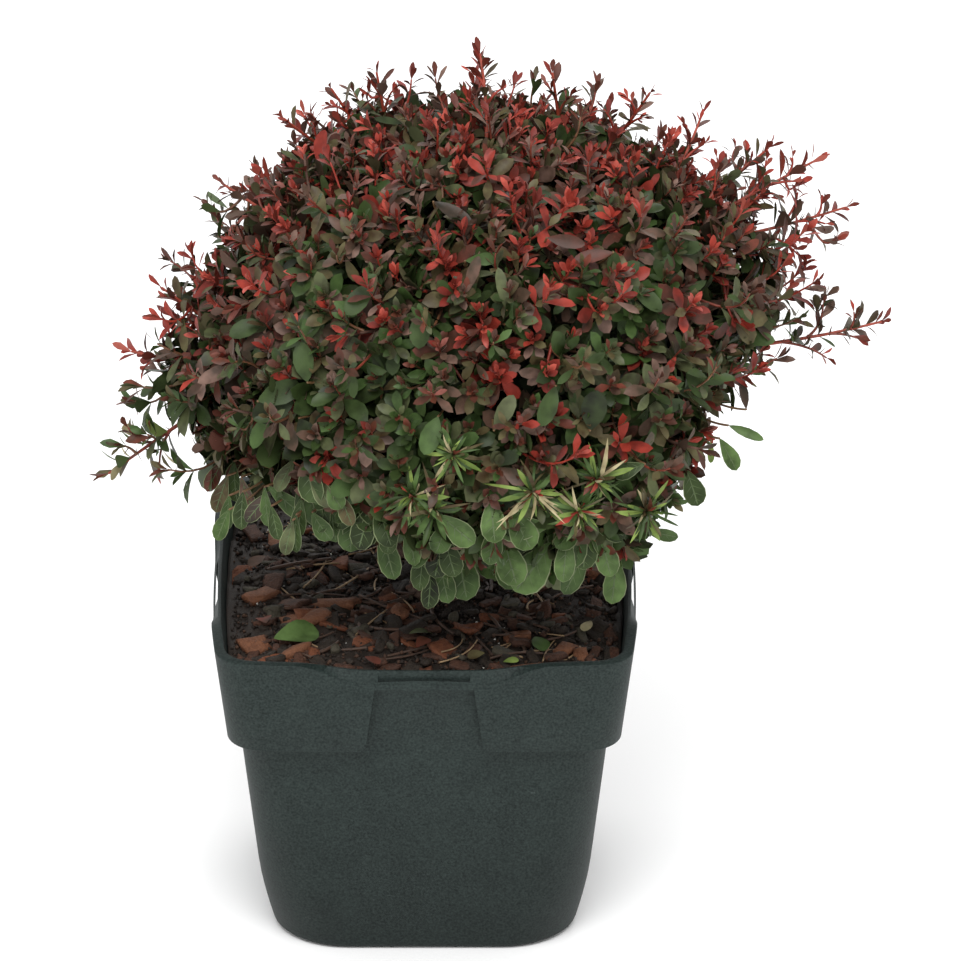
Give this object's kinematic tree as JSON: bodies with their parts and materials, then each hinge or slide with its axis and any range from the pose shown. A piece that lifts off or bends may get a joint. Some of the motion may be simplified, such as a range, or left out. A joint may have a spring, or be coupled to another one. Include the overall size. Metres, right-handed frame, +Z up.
{
  "type": "japanese barberry shrub in a square nursery pot",
  "caption": "Low, dense, mound-shaped barberry shrub with maroon and green leaves, growing in a tapered square nursery pot with a hanging collar.",
  "frame": {"origin": "middle of the pot's flat underside", "axes": "+Z up, +X to the right and +Y away from the side of the pot that faces the picture"},
  "size_m": [0.3685, 0.3055, 0.4304],
  "materials": {
    "pot_plastic": "moulded, fine matt grain",
    "compost": "rough, damp",
    "bark": "rough",
    "red_leaves": "satin",
    "green_leaves": "satin"
  },
  "bodies": {
    "root": {"pot": "pot_plastic", "soil": "compost", "stem": "bark", "bough_top": "bark", "bough_upper_1": "bark", "bough_upper_2": "bark", "bough_upper_3": "bark", "bough_upper_4": "bark", "bough_upper_5": "bark", "bough_lower_1": "bark", "bough_lower_2": "bark", "bough_lower_3": "bark", "bough_lower_4": "bark", "bough_lower_5": "bark", "bough_lower_6": "bark", "bough_lower_7": "bark", "bough_lower_8": "bark", "mass_top": "red_leaves", "mass_upper_1": "red_leaves", "mass_upper_2": "red_leaves", "mass_upper_3": "red_leaves", "mass_upper_4": "red_leaves", "mass_upper_5": "red_leaves", "mass_lower_1": "green_leaves", "mass_lower_2": "green_leaves", "mass_lower_3": "green_leaves", "mass_lower_4": "green_leaves", "mass_lower_5": "green_leaves", "mass_lower_6": "green_leaves", "mass_lower_7": "green_leaves", "mass_lower_8": "green_leaves"}
  },
  "joints": []
}
